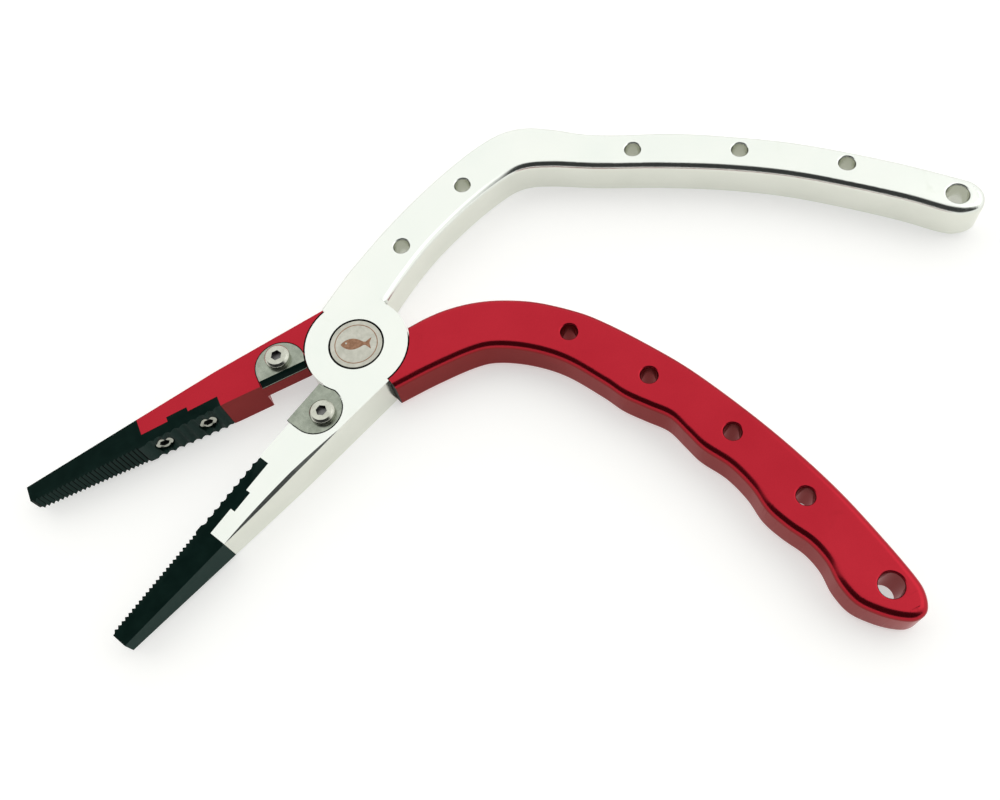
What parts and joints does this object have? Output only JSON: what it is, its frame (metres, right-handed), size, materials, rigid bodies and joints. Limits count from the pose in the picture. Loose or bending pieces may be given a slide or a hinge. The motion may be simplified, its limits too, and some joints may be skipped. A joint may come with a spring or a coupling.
{
  "type": "fishing pliers",
  "caption": "Pistol-grip fishing pliers: two lapped plate frames on a pivot bolt, screwed-in toothed jaw inserts and side cutters, sprung open.",
  "frame": {"origin": "on the pivot axis, in the plane the pliers lie on (the closed face of the pivot nut)", "axes": "+Z along the pivot axis, up through the plates; +X from the jaws to the handles, along the line halfway between the open jaws; +Y towards the red jaw"},
  "size_m": [0.1976, 0.1386, 0.0111],
  "materials": {
    "clear_anodised": "satin",
    "red_anodised": "satin",
    "black_steel": "satin",
    "stainless_screw": "satin",
    "cutter_steel": "ground",
    "cap_steel": "satin",
    "pivot_steel": "dark",
    "bronze": "satin",
    "spring_steel": "bright"
  },
  "bodies": {
    "palm": {"palm_frame": "clear_anodised", "palm_jaw_insert": "black_steel", "palm_insert_screw_front": "stainless_screw", "palm_insert_screw_rear": "stainless_screw", "palm_cutter": "cutter_steel", "palm_cutter_screw": "stainless_screw", "pivot_bolt": "pivot_steel", "pivot_cap": "cap_steel", "pivot_nut": "pivot_steel", "thrust_washer": "bronze", "return_spring": "spring_steel"},
    "finger": {"finger_frame": "red_anodised", "finger_jaw_insert": "black_steel", "finger_insert_screw_front": "stainless_screw", "finger_insert_screw_rear": "stainless_screw", "finger_cutter": "cutter_steel", "finger_cutter_screw": "stainless_screw", "pivot_bushing": "bronze"}
  },
  "joints": [
    {"name": "jaw_hinge", "type": "hinge", "parent": "palm", "child": "finger", "pos_m": [0, 0, 0], "axis": [0, 0, 1], "range_deg": [0, 27], "stiffness_Nm_per_rad": 0.4, "springref_deg": -20.05, "deforming": ["return_spring"]}
  ]
}
